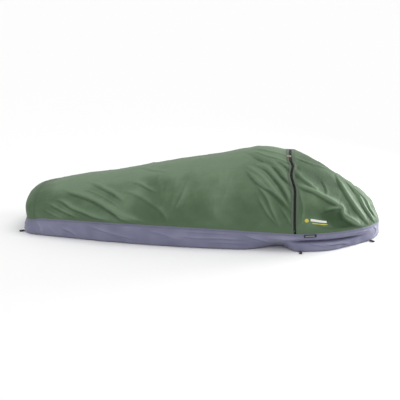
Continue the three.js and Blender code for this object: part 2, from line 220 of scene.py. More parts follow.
# Folds: the dark foot of a ridge as (s, degrees of theta) points, its height and width in mm.
# Most points in the next three tables were printed by a scratch script, which carried places in
# the photo onto this surface. Only the rest, the heights and the widths were chosen.
# This is not an example to follow.
FOOT_FOLDS = [
    ([(0.249, 55), (0.321, 46), (0.39, 40), (0.465, 33), (0.533, 25), (0.599, 16), (0.655, 7),
      (0.727, 3)], 7, 20),
    ([(0.415, 63), (0.474, 57), (0.543, 48), (0.599, 41), (0.642, 34)], 5.5, 18),
    ([(0.699, 57), (0.758, 52), (0.805, 46), (0.848, 41)], 4, 16),
    ([(0.627, 45), (0.702, 41), (0.767, 35), (0.814, 29), (0.864, 22), (0.908, 15), (0.936, 5)], 3, 22),
    ([(0.209, 37), (0.268, 32), (0.337, 21), (0.421, 13), (0.49, 7), (0.558, 4)], 5.5, 16),
    ([(0.172, 30), (0.262, 18), (0.371, 6)], 4, 13),
    ([(0.15, 18), (0.2, 11), (0.26, 4)], 2.5, 11),
    ([(0.521, 24), (0.586, 17), (0.649, 11), (0.724, 7), (0.814, 2)], 3.5, 16),
    ([(0.72, 84), (0.814, 73), (0.904, 66)], 3, 18),
    ([(1.032, 38), (1.017, 31), (0.998, 25)], 2.5, 16),
]
ZIP_FOLDS = [
    ([(1.40, 80), (1.463, 72), (1.503, 67), (1.544, 64), (1.57, 61), (1.60, 55), (1.641, 47)], 9.5, 23),
    ([(1.43, 79), (1.518, 71), (1.567, 69), (1.615, 67), (1.665, 64)], 8, 17),
    ([(1.46, 61), (1.503, 57), (1.534, 54), (1.575, 47), (1.613, 40), (1.641, 32), (1.655, 26)], 8.5, 23),
    ([(1.41, 60), (1.453, 53), (1.482, 49), (1.506, 45), (1.535, 40), (1.56, 37)], 5.5, 18),
    ([(1.41, 56), (1.453, 46), (1.477, 42), (1.522, 37), (1.551, 35), (1.603, 29), (1.65, 21)], 8.5, 22),
    ([(1.565, 66), (1.603, 65), (1.63, 62), (1.652, 59), (1.668, 53)], 8.5, 15),
    ([(1.60, 53), (1.639, 47), (1.663, 42), (1.68, 38)], 5.5, 15),
    ([(1.46, 41), (1.489, 36), (1.522, 29), (1.545, 20), (1.575, 11)], 4.5, 18),
    ([(1.45, 85), (1.49, 82), (1.541, 79), (1.60, 78), (1.66, 76)], 6, 18),
    ([(1.472, 30), (1.494, 23), (1.527, 15), (1.572, 8)], 3.5, 15),
    ([(1.65, 41), (1.668, 36), (1.674, 31)], 3, 10),
    ([(1.60, 22), (1.63, 15), (1.65, 9)], 3.5, 14),
]
HOOD_FOLDS = [
    ([(1.695, 41), (1.74, 39), (1.80, 38), (1.852, 36), (1.90, 33), (1.93, 31)], 9, 20),
    ([(1.925, 31), (1.942, 28), (1.948, 22), (1.96, 17), (2.0, 11), (2.05, 4)], 11, 20),
    ([(1.955, 22), (1.985, 18), (2.02, 12)], 4, 13),
    ([(1.93, 84), (1.946, 70), (1.964, 60), (1.985, 50), (2.02, 37), (2.062, 22), (2.09, 11)], 9, 24),
    ([(1.98, 86), (2.012, 76), (2.039, 62), (2.075, 44), (2.115, 26), (2.135, 13)], 7.5, 17),
    ([(2.025, 84), (2.062, 69), (2.09, 58), (2.119, 44), (2.148, 30)], 5.5, 14),
    ([(1.69, 72), (1.74, 73), (1.784, 76), (1.827, 81), (1.87, 86)], 7, 17),
    ([(1.69, 55), (1.733, 48), (1.79, 43)], 6, 24),
    ([(1.85, 22), (1.896, 26), (1.936, 28)], 7, 14),
    ([(1.705, 40), (1.716, 32), (1.725, 22), (1.715, 12)], 3, 12),
    ([(1.86, 40), (1.868, 46), (1.858, 54)], 3, 16),
    ([(1.80, 9), (1.85, 6), (1.92, 5)], 3, 14),
]
# Broad hollows between the tight folds: middle s, middle degrees, size along s and over the
# arch (m), depth (mm). Negative depths stand out.
HOLLOWS = [
    (1.80, 56, 0.10, 0.08, 8), (1.895, 18, 0.065, 0.040, 20), (1.61, 40, 0.07, 0.10, 4),
    (1.96, 7, 0.075, 0.035, 14), (1.78, 20, 0.10, 0.05, 4), (0.33, 62, 0.13, 0.09, -4),
    (1.47, 66, 0.06, 0.04, 3), (1.70, 60, 0.018, 0.016, 6), (1.697, 50, 0.016, 0.015, 7),
    (1.90, 37, 0.05, 0.02, -5), (1.945, 29, 0.03, 0.03, -9), (1.90, 60, 0.06, 0.09, 6),
    (2.08, 60, 0.05, 0.07, -10), (2.02, 8, 0.03, 0.03, -5), (2.135, 68, 0.03, 0.06, -14),
]


def resampled(points, count):
    """A fold's points made even and smooth in (s, degrees): two arrays."""
    steps = [math.hypot(b[0] - a[0], (b[1] - a[1]) * 0.006) for a, b in zip(points, points[1:])]
    place = np.concatenate([[0], np.cumsum(steps)])
    count = count or max(6, int(place[-1] / 0.012))
    at = np.linspace(0, place[-1], count)
    return [profile(list(zip(place, column)))(at) for column in zip(*points)]


def far_copy(folds, lag, share):
    """The other side's folds: mirrored over the top, moved along and softer."""
    def mirrored(line):
        return [(s + lag * math.sin(9 * s + angle), 180 - 0.94 * angle) for s, angle in line]

    return [(mirrored(line), share * high, 1.1 * wide) for line, high, wide in folds]


def soft_folds(seed, count, s_range, theta_range, length, high, wide):
    """Small soft wrinkles that hang over the arch, with some slant."""
    rng = np.random.default_rng(seed)
    made = []
    for _ in range(count):
        s, angle = rng.uniform(*s_range), rng.uniform(*theta_range)
        span, slant = rng.uniform(0.5, 1) * length, rng.normal(0, 0.25)
        line = [(s + slant * span * k, angle - math.degrees(span * k / ARC_METRES)) for k in (-0.5, 0, 0.5)]
        made.append((line, rng.uniform(0.4, 1) * high, rng.uniform(0.7, 1.2) * wide))
    return made


def between(folds, share, height):
    """A smaller fold half way between each pair of neighbours."""
    made = []
    for (line, high, wide), (other, high2, wide2) in zip(folds, folds[1:]):
        a, b = (np.stack(resampled(points, 9), -1) for points in (line, other))
        middle = a * (1 - share) + b * share
        line = [tuple(point) for point in middle[1:-1]]
        made.append((line, height * min(high, high2), 0.55 * min(wide, wide2)))
    return made


SHELL_FOLDS = (
    FOOT_FOLDS + ZIP_FOLDS + HOOD_FOLDS
    + between(ZIP_FOLDS[:5], 0.45, 0.45) + between(FOOT_FOLDS[:2], 0.5, 0.3)
    + between(FOOT_FOLDS[4:7], 0.5, 0.4) + far_copy(FOOT_FOLDS, 0.03, 0.85)
    + far_copy(ZIP_FOLDS[:8], 0.02, 0.8) + far_copy(HOOD_FOLDS, 0.015, 0.8)
    + soft_folds(11, 26, (0.85, 1.40), (15, 62), 0.17, 0.8, 22)
    + soft_folds(12, 26, (0.55, 1.42), (105, 168), 0.18, 2.0, 18)
    + soft_folds(13, 12, (1.74, 2.0), (20, 160), 0.10, 1.6, 13)
    + soft_folds(14, 10, (0.15, 0.6), (70, 110), 0.12, 1.6, 15)
)


def fold_heights(points, normals, folds, to_space):
    """Height of all folds at each point. to_space turns a fold's dense line into points."""
    flat, out = points.reshape(-1, 3), unit(normals.reshape(-1, 3))
    total = np.zeros(len(flat))
    for line, high, wide in folds:
        w, high = FOLD_WIDTH * wide / 1000, FOLD_HEIGHT * high / 1000
        q = to_space(*resampled(line, 0))
        tangent = unit(np.gradient(q, axis=0))
        reach = FOLD_REACH * w
        near = np.all((flat > q.min(0) - reach) & (flat < q.max(0) + reach), axis=1)
        if not near.any():
            continue
        p, n = flat[near], out[near]
        away = p[:, None, :] - q[None]
        j = np.argmin((away ** 2).sum(-1), axis=1)
        off, t = away[np.arange(len(p)), j], tangent[j]
        along = (off * t).sum(-1)
        side = np.cross(n, t)
        lean = (side @ np.array(LIGHT_SIDE)).mean()
        across = (off * side).sum(-1) * (1 if lean > 0 else -1)
        perp = np.sqrt(np.maximum((off ** 2).sum(-1) - along ** 2, 0))
        u = np.where(across < 0, -perp, perp)
        step = np.linalg.norm(q[1] - q[0])
        past = np.maximum(np.abs(along) - step, 0)
        share = (j + 0.5) / len(q)
        taper = np.minimum(smoothstep(share, -0.04, 0.3), smoothstep(1 - share, -0.12, 0.2))
        crest = RIDGE_AT * w
        from_crest = (u - crest) / (w * np.where(u > crest, RIDGE_BACK, RIDGE_FRONT))
        ridge = np.exp(-np.abs(from_crest) ** RIDGE_POWER)
        valley = np.exp(-(((u - VALLEY_AT * w) / (VALLEY_WIDTH * w)) ** 2))
        section = ridge - VALLEY_SHARE * valley
        total[near] += high * taper * np.exp(-((past / w) ** 2)) * section
    return total.reshape(points.shape[:-1])


# Heights in metres: the crown between foot and zip, three sizes of waves, the hood's dip behind
# the zip and the shoulders' rise before it (place, width, height), and the foot seam's groove.
CROWN_LIFT = 0.011
BROAD_WAVE = 0.0034
MIDDLE_WAVE = 0.0012
FINE_WAVE = 0.00035
HOOD_DIP = (1.77, 0.075, 0.013)
SHOULDER_RISE = (1.54, 0.12, 0.009)
SEAM_GROOVE = 0.0007


def shell_height(s, theta, points, normals):
    """How far the fabric stands off the smooth surface."""
    def line_points(line_s, line_degrees):
        return smooth_surface(line_s, np.radians(line_degrees))

    high = fold_heights(points, normals, SHELL_FOLDS, line_points)
    high = high * (1 - 0.5 * bump(theta, np.pi / 2, 0.3) * (1 - smoothstep(s, 1.7, 1.9)))
    arc = np.degrees(theta)
    for s0, a0, size_s, size_arc, depth in HOLLOWS:
        for middle in (a0, 180 - a0):
            over = bump(np.radians(arc - middle) * ARC_METRES, 0, size_arc)
            high = high - depth / 1000 * bump(s, s0, size_s) * over
    slack = smoothstep(s, 0.05, 0.3)
    crown = np.sin(theta) ** 4
    high = high + BROAD_WAVE * slack * (1 - 0.7 * crown) * waves(points, 1, 0.5, 0.22, 10)
    high = high + CROWN_LIFT * crown * smoothstep(s, 0.06, 0.3) * (1 - smoothstep(s, 1.35, 1.7))
    high = high + MIDDLE_WAVE * waves(points, 2, 0.15, 0.06, 14, (0.7, 1, 1))
    high = high + FINE_WAVE * waves(points, 3, 0.045, 0.02, 18)
    rim_far = np.minimum(theta, np.pi - theta) * ARC_METRES
    high = high * (0.1 + 0.9 * smoothstep(rim_far, 0.0, 0.05))
    at_zip = bump(s, ARCH_STATION, 0.022)
    phi = 90 - np.degrees(theta)
    slider_zone = smoothstep(phi, -22, -14) * (1 - smoothstep(phi, 22, 27))
    high = high * (1 - at_zip * (0.55 + 0.45 * slider_zone))
    at_top = bump(theta, np.pi / 2, 0.45) * bump(s, ARCH_STATION - 0.02, 0.11)
    high = high * (1 - 0.75 * at_top) + 0.003 * at_top
    place, width, depth = HOOD_DIP
    high = high - depth * bump(theta, np.pi / 2, 0.4) * bump(s, place, width)
    place, width, rise_there = SHOULDER_RISE
    high = high + rise_there * bump(theta, np.pi / 2, 0.5) * bump(s, place, width)
    high = high - SEAM_GROOVE * bump(s, FOOT_ROUND, 0.006)
    return high * smoothstep(LENGTH - s, 0.002, 0.05) * smoothstep(s, 0, 0.03)


# The foot's end as it hangs: how far it stands back towards the head, by height.
foot_set_back = profile([(0, -0.007), (0.03, -0.002), (0.06, 0.006), (0.09, 0.013), (0.125, 0.003),
                         (0.16, -0.009), (0.195, -0.014), (0.225, -0.014), (0.25, -0.006), (0.28, 0)])


def hang_foot(s, points):
    points[..., 0] += foot_set_back(points[..., 2]) * (1 - smoothstep(s, 0.0, 0.18))
    return points


def skin(s, theta, lift=SKIN):
    """Points of the fabric at `lift` over the bare surface, and the height of the folds there."""
    s, theta = np.broadcast_arrays(np.asarray(s, float), np.asarray(theta, float))
    moved = wander(s, theta)
    points, normals = smooth_surface(moved, theta), smooth_normal(moved, theta)
    high = shell_height(s, theta, points, normals)
    return hang_foot(s, points + normals * (high + lift)[..., None]), high


# ---- Meshes ----


def add_mesh(name, vertices, faces, materials, uv=None, crest=None, merge=0.0):
    mesh = bpy.data.meshes.new(name)
    mesh.from_pydata(np.asarray(vertices, float).reshape(-1, 3).tolist(), [], faces)
    if uv is not None:
        layer = mesh.uv_layers.new(name="weave")
        corner = np.zeros(len(mesh.loops), np.int32)
        mesh.loops.foreach_get("vertex_index", corner)
        layer.data.foreach_set("uv", np.asarray(uv, np.float32).reshape(-1, 2)[corner].ravel())
    if crest is not None:
        attribute = mesh.attributes.new("crest", "FLOAT", "POINT")
        attribute.data.foreach_set("value", np.asarray(crest, np.float32).ravel())
    if merge:
        work = bmesh.new()
        work.from_mesh(mesh)
        bmesh.ops.remove_doubles(work, verts=work.verts, dist=merge)
        bmesh.ops.dissolve_degenerate(work, edges=work.edges, dist=merge / 2)
        work.to_mesh(mesh)
        work.free()
    mesh.polygons.foreach_set("use_smooth", np.ones(len(mesh.polygons), bool))
    for material in materials:
        mesh.materials.append(material)
    thing = bpy.data.objects.new(name, mesh)
    bpy.context.scene.collection.objects.link(thing)
    return thing


def grid_faces(rows, columns, wrap=False, start=0):
    faces = []
    for i in range(rows if wrap else rows - 1):
        a, b = start + i * columns, start + ((i + 1) % rows) * columns
        faces += [(a + j, b + j, b + j + 1, a + j + 1) for j in range(columns - 1)]
    return faces


def thicken(thing, thickness, inner_slot=0):
    modifier = thing.modifiers.new("thickness", "SOLIDIFY")
    modifier.thickness = thickness
    modifier.offset = -1
    modifier.material_offset = inner_slot
    modifier.use_rim = True
    return thing


def grid_sheet(name, points, materials, thickness, crest=None, wrap=False, merge=0.0, uv=None):
    """A sheet from a grid of points, rows along the object, columns across, faces outwards."""
    rows, columns = points.shape[:2]
    if uv is None:
        steps = np.linalg.norm(np.diff(points, axis=1), axis=-1)
        across = np.concatenate([np.zeros((rows, 1)), np.cumsum(steps, 1)], 1)
        along = along_path(points[:, columns // 2])
        uv = np.stack([np.repeat(along[:, None], columns, 1), across], -1)
    thing = add_mesh(name, points, grid_faces(rows, columns, wrap), materials, uv, crest, merge)
    if thickness:
        thicken(thing, thickness, 1 if len(materials) > 1 else 0)
    return thing


# ---- Materials ----


def node_tree(name):
    material = bpy.data.materials.new(name)
    material.use_nodes = True
    tree = material.node_tree
    tree.nodes.clear()
    out = tree.nodes.new("ShaderNodeOutputMaterial")
    shader = tree.nodes.new("ShaderNodeBsdfPrincipled")
    tree.links.new(shader.outputs["BSDF"], out.inputs["Surface"])
    return material, tree, shader


def put(tree, kind, inputs=None, **settings):
    """A node with its settings, its inputs linked or set."""
    node = tree.nodes.new(kind)
    for key, value in settings.items():
        setattr(node, key, value)
    for key, value in (inputs or {}).items():
        if isinstance(value, bpy.types.NodeSocket):
            tree.links.new(value, node.inputs[key])
        else:
            node.inputs[key].default_value = value
    return node


def maths(tree, operation, a, b=0.0, c=None):
    node = tree.nodes.new("ShaderNodeMath")
    node.operation = operation
    for i, value in enumerate([a, b] if c is None else [a, b, c]):
        if isinstance(value, bpy.types.NodeSocket):
            tree.links.new(value, node.inputs[i])
        else:
            node.inputs[i].default_value = value
    return node.outputs[0]


def mix(tree, share, a, b):
    node = tree.nodes.new("ShaderNodeMix")
    node.data_type = "RGBA"
    for socket, value in ((node.inputs[0], share), (node.inputs[6], a), (node.inputs[7], b)):
        if isinstance(value, bpy.types.NodeSocket):
            tree.links.new(value, socket)
        else:
            socket.default_value = value if not isinstance(value, tuple) else (*value, 1.0)
    return node.outputs[2]


def srgb(red, green, blue):
    def straight(c):
        c = c / 255
        return c / 12.92 if c <= 0.04045 else ((c + 0.055) / 1.055) ** 2.4
    return straight(red), straight(green), straight(blue)


def woven(name, colour, light, dark, thread=0.0009, roughness=0.6, sheen=0.15,
          weave_depth=0.00012, wrinkle=0.0005, crest=False, specular=0.35, uv=True):
    """Cloth: a plain weave on the sewn pattern's own metres, fine creases, painted highlight on fold
    crests, painted shade in fold hollows and faint patches of colour. The three colours are sRGB, 0 to 255."""
    colour, light, dark = srgb(*colour), srgb(*light), srgb(*dark)
    material, tree, shader = node_tree(name)
    place = tree.nodes.new("ShaderNodeTexCoord")
    solid = place.outputs["Object"]
    cloth = place.outputs["UV"] if uv else solid
    split = put(tree, "ShaderNodeSeparateXYZ", {"Vector": cloth})
    turns = 2 * math.pi / thread
    warp = maths(tree, "SINE", maths(tree, "MULTIPLY", split.outputs["X"], turns))
    weft = maths(tree, "SINE", maths(tree, "MULTIPLY", split.outputs["Y"], turns))
    weave = maths(tree, "MULTIPLY", warp, weft)
    spots = put(tree, "ShaderNodeTexNoise", {"Vector": solid, "Scale": 5.5, "Detail": 3.0,
                                             "Roughness": 0.55})
    fibres = put(tree, "ShaderNodeTexNoise", {"Vector": solid, "Scale": 420.0, "Detail": 2.0})
    creases = put(tree, "ShaderNodeTexNoise", {"Vector": solid, "Scale": 28.0, "Detail": 5.0,
                                               "Roughness": 0.6, "Distortion": 0.6})
    patches = maths(tree, "MULTIPLY_ADD", spots.outputs["Fac"], 1.0, 0.1)
    patches = maths(tree, "SMOOTH_MIN", patches, 1.0, 0.1)
    base = mix(tree, patches, dark, colour)
    shade = maths(tree, "MULTIPLY_ADD", weave, 0.05, 0.06)
    base = mix(tree, shade, base, light)
    base = mix(tree, maths(tree, "MULTIPLY", fibres.outputs["Fac"], 0.12), base, light)
    # Painted highlight and painted shade: the fold height lightens the crests and darkens the hollows.
    if crest:
        high = put(tree, "ShaderNodeAttribute", attribute_name="crest").outputs["Fac"]
        crest_painted_highlight = maths(tree, "MULTIPLY", maths(tree, "MAXIMUM", high, 0.0), 60.0)
        deep = maths(tree, "MAXIMUM", maths(tree, "MULTIPLY", high, -1.0), 0.0)
        hollow_painted_shade = maths(tree, "MULTIPLY", deep, 75.0)
        base = mix(tree, maths(tree, "MINIMUM", crest_painted_highlight, 0.4), base, light)
        base = mix(tree, maths(tree, "MINIMUM", hollow_painted_shade, 0.9), base, dark)
    tree.links.new(base, shader.inputs["Base Color"])
    gloss = maths(tree, "MULTIPLY_ADD", creases.outputs["Fac"], 0.22, roughness - 0.11)
    tree.links.new(gloss, shader.inputs["Roughness"])
    fine = put(tree, "ShaderNodeBump", {"Height": weave, "Distance": weave_depth, "Strength": 0.6})
    coarse = put(tree, "ShaderNodeBump", {"Height": creases.outputs["Fac"], "Distance": wrinkle * 8,
                                          "Strength": 0.35, "Normal": fine.outputs["Normal"]})
    tree.links.new(coarse.outputs["Normal"], shader.inputs["Normal"])
    shader.inputs["Sheen Weight"].default_value = sheen
    shader.inputs["Sheen Roughness"].default_value = 0.45
    shader.inputs["Specular IOR Level"].default_value = specular
    return material


def moulded(name, colour, light, roughness=0.45, metallic=0.0, grain=900.0, depth=0.00006):
    """Plastic or cast metal: fine grain, rubbed spots. The two colours are sRGB, 0 to 255."""
    colour, light = srgb(*colour), srgb(*light)
    material, tree, shader = node_tree(name)
    place = tree.nodes.new("ShaderNodeTexCoord").outputs["Object"]
    fine = put(tree, "ShaderNodeTexNoise", {"Vector": place, "Scale": grain, "Detail": 4.0})
    rub = put(tree, "ShaderNodeTexNoise", {"Vector": place, "Scale": 120.0, "Detail": 3.0})
    worn = maths(tree, "SMOOTH_MIN", maths(tree, "MULTIPLY_ADD", rub.outputs["Fac"], 2.2, -0.95), 0.6, 0.1)
    worn = maths(tree, "MAXIMUM", worn, 0.0)
    tree.links.new(mix(tree, worn, colour, light), shader.inputs["Base Color"])
    gloss = maths(tree, "MULTIPLY_ADD", fine.outputs["Fac"], 0.2, roughness - 0.1)
    tree.links.new(gloss, shader.inputs["Roughness"])
    bumped = put(tree, "ShaderNodeBump", {"Height": fine.outputs["Fac"], "Distance": depth, "Strength": 0.5})
    tree.links.new(bumped.outputs["Normal"], shader.inputs["Normal"])
    shader.inputs["Metallic"].default_value = metallic
    return material


SHELL = woven("shell_fabric", (83, 105, 78), (137, 159, 133), (56, 78, 52), crest=True, sheen=0.05,
              specular=0.15)
SHELL_INSIDE = woven("shell_lining", (150, 158, 150), (196, 200, 194), (128, 137, 130),
                     roughness=0.7)
WELT_CLOTH = woven("welt_fabric", (84, 100, 81), (130, 144, 127), (66, 82, 64), thread=0.0008,
                   roughness=0.7)
TUB = woven("tub_fabric", (122, 123, 148), (160, 161, 184), (94, 95, 120), thread=0.0011,
            roughness=0.62, crest=True, sheen=0.2)
TUB_INSIDE = woven("tub_coating", (96, 97, 116), (128, 129, 146), (80, 81, 98), roughness=0.42)
RIM_CLOTH = woven("rim_fabric", (120, 121, 145), (156, 158, 180), (94, 95, 118), thread=0.0008)
FILM = woven("seam_film", (176, 179, 172), (215, 216, 210), (150, 153, 147), roughness=0.35,
             sheen=0.0)
TAPE_CLOTH = woven("zip_tape_weave", (34, 40, 34), (78, 84, 76), (20, 24, 20), thread=0.0007,
                   roughness=0.8)
COIL_PLASTIC = moulded("coil_nylon", (22, 27, 23), (60, 66, 60), 0.4)
METAL = moulded("slider_enamel", (34, 36, 38), (120, 120, 118), 0.35, 0.7)
PULL_WEB = woven("pull_cord_weave", (30, 31, 34), (74, 76, 80), (16, 17, 19), thread=0.0011,
                 roughness=0.75, weave_depth=0.0003, uv=False)
WEBBING = woven("loop_webbing", (26, 27, 31), (66, 68, 74), (14, 15, 18), thread=0.0016,
                roughness=0.72, weave_depth=0.0004)
THREAD = moulded("stitch_thread", (70, 86, 68), (104, 118, 101), 0.65, 0.0, 1600.0, 0.00003)
THREAD_DARK = moulded("stitch_thread_dark", (38, 38, 48), (80, 80, 94), 0.65, 0.0, 1600.0, 0.00003)
GARAGE_CLOTH = woven("garage_fabric", (140, 135, 116), (176, 172, 156), (116, 112, 96),
                     thread=0.0008, roughness=0.7)
LABEL_DARK = woven("label_weave", (36, 38, 46), (80, 84, 92), (22, 23, 29), thread=0.0006,
                   roughness=0.7)
LABEL_LIGHT = woven("label_band", (120, 122, 128), (168, 170, 176), (96, 98, 104), thread=0.0006)
INK_YELLOW = woven("print_yellow", (204, 196, 62), (232, 226, 120), (170, 162, 44), roughness=0.5)
INK_WHITE = woven("print_white", (226, 229, 222), (245, 246, 243), (190, 196, 186), roughness=0.5)

# ---- The shell ----

OVER = np.linspace(0, np.pi, 281)


def shell_panel(name, stations):
    points, high = skin(stations[:, None], OVER[None, :])
    # The lowest edge tucks behind the seam at the rim.
    points[:, 0, 2] -= 0.002
    points[:, -1, 2] -= 0.002
    panel = grid_sheet(name, points, [SHELL, SHELL_INSIDE], 0.0008, crest=high, merge=2e-6)
    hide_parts(name)
    return panel


foot_stations = FOOT_ROUND * (1 - np.cos(np.linspace(0, np.pi / 2, 20)))
body_stations = np.linspace(FOOT_ROUND, ARCH_STATION - PANEL_EDGE, 390)
hood_stations = np.concatenate([
    np.linspace(ARCH_STATION + PANEL_EDGE, HEAD_START, 5)[:-1],
    HEAD_START + (LENGTH - HEAD_START) * np.sin(np.linspace(0, np.pi / 2, 150)),
])
foot = shell_panel("foot_panel", foot_stations)
body = shell_panel("body_panel", body_stations)
hood = shell_panel("hood_panel", hood_stations)
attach(foot, "bag")
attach(body, "bag")


def follow_hood(thing):
    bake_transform(thing)


follow_hood(hood)

# ---- The tub ----

# Outline of the rim: near side from foot to head, far side back, then across the foot.
side_s = np.concatenate([foot_stations[:-1], np.linspace(FOOT_ROUND, ARCH_STATION, 180)[:-1],
                         ARCH_STATION + (LENGTH - ARCH_STATION) * np.sin(np.linspace(0, np.pi / 2, 110))])
across_foot = np.linspace(1, -1, 34)[1:-1]
outline_s = np.concatenate([side_s, side_s[-2::-1], np.zeros(len(across_foot))])
outline_side = np.concatenate([np.full(len(side_s), 1.0), np.full(len(side_s) - 1, -1.0), -across_foot])
outline = np.stack([outline_s + FOOT_EDGE_X, -half_width(outline_s) * outline_side], -1)
outline_step = unit(np.roll(outline, -1, 0) - np.roll(outline, 1, 0))
outline_out = np.stack([outline_step[:, 1], -outline_step[:, 0]], -1)
outline_rim = rim_height(outline_s)
near_share = (outline_side > 0).astype(float)

# Wall folds in (s, height) on the near side, height and width in mm.
WALL_FOLDS = [
    ([(0.03, 90), (0.05, 60), (0.045, 25)], 3, 9), ([(0.10, 84), (0.125, 55), (0.135, 22)], 3.5, 10),
    ([(0.185, 70), (0.2, 45), (0.235, 15)], 2, 9), ([(0.27, 62), (0.33, 40), (0.37, 14)], 3.5, 11),
    ([(0.42, 92), (0.5, 74), (0.62, 48), (0.72, 30)], 3, 12), ([(0.55, 52), (0.63, 34), (0.70, 15)], 2, 10),
    ([(0.8, 90), (0.9, 72), (0.98, 48)], 2, 13), ([(1.0, 66), (1.12, 60), (1.25, 63), (1.36, 58)], 3, 9),
    ([(1.02, 96), (1.15, 92), (1.3, 90)], 1.8, 8), ([(1.16, 34), (1.28, 38), (1.4, 32)], 2, 10),
    ([(1.38, 84), (1.46, 66), (1.53, 44)], 3.5, 12), ([(1.5, 78), (1.6, 72), (1.7, 74)], 2.5, 9),
    ([(1.83, 40), (1.87, 30), (1.93, 28), (1.98, 16)], 4, 9), ([(1.74, 46), (1.8, 36), (1.86, 20)], 2.5, 10),
    ([(1.95, 84), (2.03, 74), (2.1, 66)], 2, 8), ([(2.13, 80), (2.15, 55), (2.14, 30)], 2.5, 9),
]


def wall_edge(s, side):
    """Rim outline, its outward direction, s and the share of the near side, away from the tips."""
    e = 1e-3
    inner = np.clip(s, e, LENGTH - e)
    step = np.stack([np.full(np.shape(s), 2 * e), half_width(inner - e) - half_width(inner + e)], -1)
    out = unit(np.stack([step[..., 1], -step[..., 0]], -1)) * np.array([1, side])
    xy = np.stack([s + FOOT_EDGE_X, -half_width(s) * side], -1)
    return xy, out, s, np.full(np.shape(s), (1 + side) / 2)


OUTLINE = (outline, outline_out, outline_s, near_share)
WALL_ROWS = np.concatenate([np.linspace(0, 0.08, 5)[:-1], np.linspace(0.08, 0.92, 40),
                            np.linspace(0.92, 1, 4)[1:]])
# All in metres. The notch is where the near wall is pulled in below the zip. The crease runs along
# the wall of the hood: above it the wall sinks in, below it the wall spreads out.
HEAD_TUCK = 0.003
NOTCH_AT = 1.59
NOTCH_LIFT = 0.012
NOTCH_TUCK = 0.075
WALL_FULLNESS = 0.003
CREASE_HEIGHT = 0.060
CREASE_FALL = 0.010
CREASE_WIDTH = 0.006
CREASE_TUCK = 0.018
# Depth of the painted shade along the crease, in the fold heights that colour the wall.
CREASE_SHADE = 0.016
SINK = 0.014
SPREAD = 0.008
BELLY = (1.87, 0.11, 0.022)
CURL_HEIGHT = 0.011
CURL_INSET = 0.010
LOWEST = 0.0010


def notch_at(s, near):
    return near * np.where(s < NOTCH_AT, bump(s, NOTCH_AT, 0.13), bump(s, NOTCH_AT, 0.06))


def wall_line(side, lag=0.0):
    """Turns a wall fold's (s, height in mm) line into points on that side of the plain wall."""
    def line_points(s, mm):
        s = np.clip(s + lag * np.sin(8 * s), 0, LENGTH)
        z = np.asarray(mm) / 1000
        xy, out, s, _ = wall_edge(s, side)
        away = FLARE * (1 - z / rim_height(s)) + FABRIC
        return np.concatenate([xy + out * away[:, None], z[:, None]], -1)
    return line_points


held_spots = [np.array(joint["pos_m"][:2]) for joint in frame["joints"]
              if joint["name"].startswith("loop_lift")]


def wall_surface(edge, z, lift=0.0):
    """Points of the wall's outer face at heights z (a row for each point of the edge), and its
    folds' heights with a painted shade line along the crease."""
    xy, out, s, near = edge
    s, near = s[:, None], near[:, None]
    rim = rim_height(s)

    def stand(distance):
        return np.concatenate([xy[:, None, :] + out[:, None, :] * distance[..., None], z[..., None]], -1)

    notch = notch_at(s, near)
    low = wall_low(s, near)
    share = np.clip((z - low) / (rim - low), 0, 1)
    bare = FLARE * (1 - z / rim) + FABRIC
    away = bare + WALL_FULLNESS * np.sin(np.pi * share)
    run = smoothstep(s, 1.58, 1.76) * (1 - smoothstep(s, 1.97, 2.12)) * (0.75 + 0.25 * near)
    crease = CREASE_HEIGHT - CREASE_FALL * smoothstep(s, 1.7, 2.0)
    upper, lower = np.clip((rim - z) / (rim - crease), 0, 1), np.clip((crease - z) / crease, 0, 1)
    spread = SPREAD + BELLY[2] * bump(s, BELLY[0], BELLY[1])
    tuck = CREASE_TUCK * bump(z, crease, CREASE_WIDTH)
    away = away + run * (-SINK * upper ** 1.5 + spread * lower ** 0.7 - tuck)
    # Painted shade along the crease: it darkens the wall's colour only and does not move the wall.
    crease_painted_shade = CREASE_SHADE * run * bump(z, crease - 0.002, CREASE_WIDTH)
    away = away - HEAD_TUCK * smoothstep(s, 1.98, 2.15) * (1 - share)
    away = away - NOTCH_TUCK * notch * (1 - smoothstep(share, 0.0, 0.75))
    curl = np.clip(1 - (z - low) / CURL_HEIGHT, 0, 1)
    inset = CURL_INSET * (1 - np.sqrt(np.maximum(1 - curl ** 2, 0)))
    flat, plain = stand(away - inset), stand(bare)
    normals = np.concatenate([np.repeat(out[:, None, :], z.shape[1], 1), np.zeros(z.shape + (1,))], -1)
    high = (fold_heights(plain, normals, WALL_FOLDS, wall_line(1))
            + fold_heights(plain, normals, WALL_FOLDS, wall_line(-1, 0.03)))
    high = high + 0.0022 * waves(flat, 5, 0.3, 0.12, 10)
    high = high + 0.0010 * waves(flat, 6, 0.07, 0.03, 14, (1, 1, 0.6))
    high = high * smoothstep(1 - share, 0, 0.14) * smoothstep(share, -0.25, 0.15)
    points = hang_foot(s, flat + normals * (high + lift)[..., None])
    # The sewn loops hold the wall's base where it was cut.
    held = sum(bump(np.linalg.norm(flat[..., :2] - spot, axis=-1), 0, 0.03) for spot in held_spots)
    held = np.clip(1.6 * held, 0, 1) * (1 - smoothstep(z, 0.032, 0.07))
    base = plain + normals * (lift - inset)[..., None]
    return points + (base - points) * held[..., None], high - crease_painted_shade


def wall_low(s, near):
    """Height of the wall's lowest edge."""
    return LOWEST + NOTCH_LIFT * notch_at(s, near)


def tub_wall():
    low = wall_low(outline_s, near_share)[:, None]
    z = low + (outline_rim[:, None] + 0.001 - low) * WALL_ROWS[None, :]
    points, high = wall_surface(OUTLINE, z)
    wall = grid_sheet("tub_wall", points, [TUB, TUB_INSIDE], 0.0008, crest=high, wrap=True)
    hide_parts("tub_wall")
    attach(wall, "bag")
    return points


wall_points = tub_wall()


